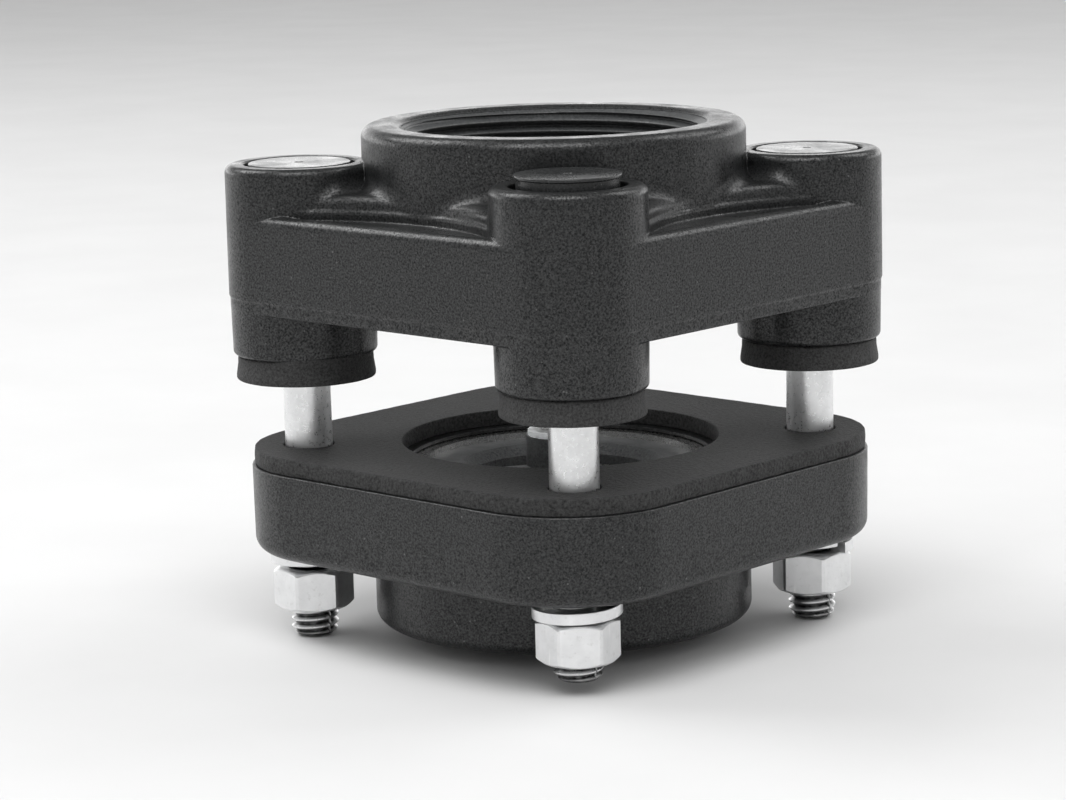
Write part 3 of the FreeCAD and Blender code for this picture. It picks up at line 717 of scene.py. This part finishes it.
def pipe_thread(name, body, replaced, low, high, mouth_radius, face):
    """Threaded lining of a port, whose crests are cut back where the port flares to its face."""
    def radius_at(angles, height):
        radius = vee(angles, height, PIPE_PITCH, PIPE_ROOT, PIPE_CREST)
        flare = (mouth_radius - PIPE_CREST) / MOUTH_DEPTH
        return np.maximum(radius, mouth_radius - np.abs(height - face) * flare)

    angles, height, radius = thread_grid(low, high, PIPE_PITCH, radius_at, 192)
    behind = np.full_like(radius[:, :1], PIPE_ROOT + 0.5)
    radius = np.concatenate([behind, radius, behind], 1)
    height = np.concatenate([height[:, :1], height, height[:, -1:]], 1)
    points = upright(angles[:, :1], radius, height)
    # the lighter plastic is painted light for the shaded inside of the port
    loft_piece(name, body, LIGHTENED_THREAD_PLASTIC, replaced, [(points, True, True)], 75)


pipe_thread(
    "upper_port_thread", "housing", ["upper_flange"], *UPPER_THREAD, UPPER_MOUTH, HUB_TOP
)
pipe_thread(
    "lower_port_thread", "clamp", ["lower_flange"], *LOWER_THREAD, LOWER_MOUTH, LOWER_HUB_BOTTOM
)


# ---------------------------------------------------------------- seals

# degrees to the middle of the swollen side, its half width in degrees, and its height
LIP_SWELLS = {"front": (195, 40, 0.7), "right": (160, 35, 0.5), "back": (120, 60, 0.6),
              "left": (-22, 42, 1.15)}
# radius between a seal's bore, which stays true, and its outside, which doesn't
SEAL_MIDDLE = 8


def leg_seal_wobble(corner):
    """A slightly uneven rubber ring whose upper lip has crept up the leg on one side."""
    seed = list(LIP_SWELLS).index(corner) * 1.7
    middle, width, height_of_swell = LIP_SWELLS[corner]

    def wobble(angles, radius, height):
        wave = 0.5 * np.sin(3 * angles + seed) + 0.3 * np.sin(7 * angles + 2.3 * seed)
        wave = wave + 0.2 * np.sin(13 * angles - seed)
        away = (np.degrees(angles) - middle + 180) % 360 - 180
        swell = np.exp(-(away / width) ** 4) * height_of_swell + 0.12 * wave
        share = (height / LEG_BOTTOM) ** 3
        outer = radius > SEAL_MIDDLE
        radius = radius + np.where(outer, 0.1 * wave * (1 - share), 0)
        radius = radius + np.where(outer, np.clip(swell * 1.1, 0, 1) * share, 0)
        return radius, height + np.where(outer, swell * share, 0)

    return wobble


leg_seal_outline = rounded(
    [(5.25, 0.02), (13.95, 0.02), (13.95, 1.0), (13.6, 3.2), (13.55, LEG_BOTTOM),
     (5.25, LEG_BOTTOM)],
    [0.2, 0.35, 1.5, 1.5, 0.7, 0.1],
)
loft_piece(
    "leg_seal_rings", "housing", LEG_RUBBER, ["leg_seals"],
    [(turned(leg_seal_outline, at_bolt(corner), 144, leg_seal_wobble(corner)), True, True)
     for corner in CORNERS],
)
head_low, head_high = node_box("bolt_head_seals")
head_seal_outline = rounded(
    [(5.2, head_low[2]), (10.9, head_low[2]), (10.9, head_high[2]), (5.2, head_high[2])], 0.3
)
loft_piece(
    "head_seal_rings", "housing", LEG_RUBBER, ["bolt_head_seals"],
    [(turned(head_seal_outline, at_bolt(corner), 72), True, True) for corner in CORNERS],
)


# ---------------------------------------------------------------- fasteners

def bolt_radius_at(angles, height):
    """Radius of a bolt at a place: threaded for its last inch, then plain, bevelled at the end."""
    thread = vee(angles, height, BOLT_PITCH, BOLT_ROOT, BOLT_RADIUS, 0.14)
    runout = smooth_step((height - (BOLT_END + BOLT_THREAD)) / (1.5 * BOLT_PITCH))
    radius = thread + (BOLT_RADIUS - thread) * runout
    return np.minimum(radius, BOLT_RADIUS - 1.15 + (height - BOLT_END) * 1.1)


def bolt_shank(corner):
    """A bolt from its dished end to 1 mm inside its head."""
    angles, height, radius = thread_grid(
        BOLT_END, BOLT_END + BOLT_THREAD + 3.6, BOLT_PITCH, bolt_radius_at, 72
    )
    edge = np.ones_like(radius[:, :1])
    top = (HEAD_BOTTOM + 1) * edge
    radius = np.concatenate(
        [0 * edge, radius[:, :1] - 0.35, radius, BOLT_RADIUS * edge, 0 * edge], 1
    )
    height = np.concatenate([(BOLT_END + 0.15) * edge, BOLT_END * edge, height, top, top], 1)
    points = upright(angles[:, :1], radius, height + LIFTS[corner], at_bolt(corner))
    return points, True, False


def hexagon_radius(angles, across_flats, corner_round):
    """Distance from the axis to a hexagon's side, with its corners a little rounded."""
    turn = (angles + math.pi / 6) % (math.pi / 3) - math.pi / 6
    side = across_flats / 2 / np.cos(math.pi / 6 - np.abs(turn))
    tip = across_flats / math.sqrt(3) - corner_round
    return np.minimum(side, tip + corner_round * 0.45 * np.cos(3 * turn) ** 2)


def hexagon_grid(centre, degrees, low, high, inner, bevels=(True, True)):
    """Points of a hexagonal nut or head with the curved edges that its bevels leave."""
    turns = full_turn(HEXAGON_SEGMENTS)
    reach = hexagon_radius(turns, NUT_ACROSS_FLATS, 0.35)
    # radius of the round flat that the bevel leaves on an end face
    flat = NUT_ACROSS_FLATS / 2 * 0.955

    def face(level, inward, bevelled):
        """Radii and heights from the middle of an end face out to the hexagon's side."""
        drop = np.maximum(reach - flat, 0) * math.tan(math.radians(30)) * bevelled
        return [
            (inner, level), (flat * 0.6, level), (flat - 0.25, level),
            (flat, level + inward * 0.05),
            ((flat + reach) / 2, level + inward * (drop / 2 + 0.03)),
            (reach - 0.12, level + inward * drop), (reach, level + inward * (drop + 0.16)),
        ]

    waist = [(reach, (low + high) / 2)]
    outline = face(low, 1, bevels[0]) + waist + face(high, -1, bevels[1])[::-1]
    radius, height = (
        np.stack([pair[k] * np.ones(HEXAGON_SEGMENTS) for pair in outline], 1) for k in (0, 1)
    )
    return upright((turns + math.radians(degrees))[:, None], radius, height, centre)


def nut_grid(corner):
    """A nut with its bore's bevels; the bore clears the bolt's thread."""
    centre, degrees, bore = at_bolt(corner), NUT_TURNS[corner], BOLT_RADIUS + 0.03
    outside = hexagon_grid(centre, degrees, NUT_BOTTOM, NUT_TOP, bore + 0.45)
    angles = (full_turn(HEXAGON_SEGMENTS) + math.radians(degrees))[:, None]
    inside = upright(angles, bore, np.array([[NUT_TOP - 0.5, NUT_BOTTOM + 0.5]]), centre)
    return np.concatenate([outside, inside], 1), True, True


for corner_name in CORNERS:
    loft_piece(
        f"hex_nut_{corner_name}", f"nut_{corner_name}", ZINC, [f"nut_{corner_name}"],
        [nut_grid(corner_name)], 24,
    )


def bolt_head(corner):
    """A bolt's hexagonal head, bevelled at the top only."""
    low, high = HEAD_BOTTOM + LIFTS[corner], HEAD_TOP + LIFTS[corner]
    return hexagon_grid(at_bolt(corner), 0, low, high, 0, (False, True)), True, False


loft_piece(
    "threaded_bolts", "housing", BOLT_ZINC, ["bolts"],
    [grid for corner in CORNERS for grid in (bolt_head(corner), bolt_shank(corner))], 30,
)


def washer_grid(corner):
    """One turn of a flat bar whose ends are sprung apart."""
    bar = rounded(
        [(WASHER_INNER, 0), (WASHER_OUTER, 0), (WASHER_OUTER, WASHER_THICKNESS),
         (WASHER_INNER, WASHER_THICKNESS)], 0.28, 3
    )
    share = np.linspace(0, 1, 111)[:, None]
    angles = math.radians(WASHER_TURNS[corner]) + 2 * math.pi * 0.96 * share
    height = WASHER_BOTTOM + bar[:, 1][None] + (WASHER_FREE_HEIGHT - WASHER_THICKNESS) * share
    return capped_coil(upright(angles, bar[:, 0][None], height, at_bolt(corner)))


loft_piece(
    "spring_washers", "clamp", ZINC, ["lock_washers"],
    [washer_grid(corner) for corner in CORNERS], 30,
)

cap_low, cap_high = node_box("bolt_head_caps")


def cap_outline(corner):
    """Disc on a slightly narrower body, open below, with the gate's mark in its middle."""
    low, top = cap_low[2], cap_high[2] - LIFTS["front"]
    outline = rounded(
        [(8.45, low), (9.7, low), (9.7, top - 0.75), (10.2, top - 0.62), (10.2, top), (0.9, top),
         (0.8, top - 0.18), (0.45, top - 0.18), (0.35, top + 0.02), (0, top + 0.02),
         (0, top - 1.6), (8.45, top - 1.6)],
        [0.1, 0.3, 0.12, 0.12, 0.22, 0.08, 0.05, 0.05, 0.05, 0, 0, 0.3], 3,
    )
    return outline + np.array([0, LIFTS[corner]])


loft_piece(
    "bolt_head_covers", "housing", CAP_PLASTIC, ["bolt_head_caps"],
    [(turned(cap_outline(corner), at_bolt(corner), 120), True, True) for corner in CORNERS], 40,
)


# ---------------------------------------------------------------- valve

def spring_grid():
    """Compression spring with closed, flattened ends."""
    wire, mean, closed_rise = 0.5, 5.0, 0.8
    turns, segments = 7, 40
    share = np.linspace(0, 1, turns * segments + 1)[:, None]
    dead = 0.9 / turns
    climb = np.clip((share - dead) / (1 - 2 * dead), 0, 1)
    low, high = SPRING_BOTTOM + wire, SPRING_TOP - wire
    coil_share = smooth_step(climb) * 0.15 + climb * 0.85
    ends_share = np.clip(share / dead, 0, 1) + np.clip((share - 1 + dead) / dead, 0, 1)
    middle = low + closed_rise * ends_share + (high - low - 2 * closed_rise) * coil_share
    section = full_turn(14)[None]
    height = middle + wire * np.sin(section)
    height = np.clip(height, SPRING_BOTTOM + 0.02, SPRING_TOP - 0.02)
    return capped_coil(upright(2 * math.pi * turns * share, mean + wire * np.cos(section), height))


spring = loft_piece(
    "closing_spring", "clamp", STAINLESS, ["valve_spring"], [spring_grid()], 60
)
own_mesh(spring)

# CAD nodes that are shown as they are, with their material and slot
FINISHES = {
    "seat_ring": (VALVE_PLASTIC, "valve_plastic"),
    "poppet_disc": (VALVE_PLASTIC, "valve_plastic"),
    "guide_bush": (BUSH_PLASTIC, "bush_plastic"),
    "seat_o_ring": (VALVE_RUBBER, "black_rubber"),
    "poppet_seal": (VALVE_RUBBER, "valve_rubber"),
    "seat_retaining_ring": (STAINLESS, "stainless_steel"),
    "seal_retainer": (STAINLESS, "stainless_steel"),
    "poppet_stem": (STAINLESS, "stainless_steel"),
    "spring_cup": (STAINLESS, "stainless_steel"),
    "stem_lock_nut": (STAINLESS, "stainless_steel"),
}
for node_name, (material, slot_name) in FINISHES.items():
    shown = NODES[node_name]
    shown.data.materials.clear()
    shown.data.materials.append(material)


# ---------------------------------------------------------------- stage, light and camera

def stage_floor():
    """A pale floor just under the bolts' ends, with a faint unevenness."""
    half, count, gap = 3.0, 24, 0.0004
    line = np.linspace(-half, half, count)
    x, y = np.meshgrid(line, line, indexing="ij")
    points = np.stack([x, y, np.full_like(x, BOLT_END * MM - gap)], 2)
    mesh = bpy.data.meshes.new("studio_floor")
    fill_mesh(mesh, points.reshape(-1, 3), sheet_faces(count, count, False, False))
    g = Graph("studio_floor")
    colour = g.mix(g.remap(g.noise(60, 3), 0.3, 0.7), rgb(0.7), rgb(0.73))
    mesh.materials.append(g.finish({"Base Color": colour, "Roughness": 0.7}))
    link_new("studio_floor", mesh)


def studio_world(front, low_backdrop, high_backdrop):
    """Even light from the camera's side; behind the part, a bright band below a dim one."""
    world = bpy.data.worlds.new("studio")
    world.use_nodes = True
    tree = world.node_tree
    tree.nodes.clear()

    def ramp(value, low, high, to_low, to_high):
        inputs = {"Value": value, "From Min": low, "From Max": high, "To Min": to_low,
                  "To Max": to_high}
        node = add_node(tree, "ShaderNodeMapRange", inputs, interpolation_type="SMOOTHSTEP")
        return node.outputs[0]

    direction = add_node(tree, "ShaderNodeTexCoord").outputs["Generated"]
    height = add_node(tree, "ShaderNodeSeparateXYZ", {0: direction}).outputs[2]
    sides = {0: direction, 1: -around(VIEW_AZIMUTH, 0, 1.0)}
    behind = add_node(tree, "ShaderNodeVectorMath", sides, operation="DOT_PRODUCT")
    backdrop = ramp(height, 0.2, 0.36, low_backdrop, high_backdrop)
    level = ramp(behind.outputs["Value"], 0.0, 0.5, front, backdrop)
    background = add_node(tree, "ShaderNodeBackground", {"Strength": level})
    add_node(tree, "ShaderNodeOutputWorld", {0: background.outputs[0]})
    bpy.context.scene.world = world


def around(azimuth, elevation, distance, target=(0, 0, 0)):
    """A place seen from the target at that azimuth and elevation."""
    a, e = math.radians(azimuth), math.radians(elevation)
    out = Vector((math.sin(a) * math.cos(e), -math.cos(a) * math.cos(e), math.sin(e)))
    return Vector(target) + out * distance


def aimed(name, data, place, roll_degrees=0):
    """A lamp or a camera at a place, looking at the target."""
    item = link_new(name, data)
    item.location = place
    item.rotation_mode = "QUATERNION"
    aim = (Vector(TARGET) - Vector(place)).to_track_quat("-Z", "Y")
    roll = Matrix.Rotation(math.radians(roll_degrees), 3, "Z").to_quaternion()
    item.rotation_quaternion = aim @ roll
    return item


def area_light(name, side, elevation, distance, size, watts):
    """A soft box, placed by its angle from the camera's side and its elevation."""
    data = bpy.data.lights.new(name, "AREA")
    data.shape = "RECTANGLE"
    data.size, data.size_y = size
    data.energy = watts
    aimed(name, data, around(VIEW_AZIMUTH + side, elevation, distance, TARGET))


# the photo's camera, found from the ellipses of the hubs, bosses and corners
VIEW_AZIMUTH, VIEW_ELEVATION, VIEW_DISTANCE, VIEW_ROLL = 42.26, 9.12, 0.6726, -1.33
VIEW_LENS, VIEW_SENSOR, VIEW_SHIFT = 112.8, 36, (-0.0232, -0.0766)
TARGET = (0, 0, 0.01006)

stage_floor()
studio_world(0.7, 2.7, 0.3)
area_light("top_softbox", -8, 60, 1.4, (1.1, 0.8), 12)
area_light("left_softbox", -116, 46, 1.6, (0.9, 0.9), 12)
area_light("right_softbox", 116, 44, 1.6, (0.9, 0.9), 6.5)

camera_data = bpy.data.cameras.new("camera")
camera_data.lens, camera_data.sensor_width = VIEW_LENS, VIEW_SENSOR
camera_data.shift_x, camera_data.shift_y = VIEW_SHIFT
viewpoint = around(VIEW_AZIMUTH, VIEW_ELEVATION, VIEW_DISTANCE, TARGET)
bpy.context.scene.camera = aimed("camera", camera_data, viewpoint, VIEW_ROLL)
bpy.context.scene.view_settings.view_transform = "Standard"
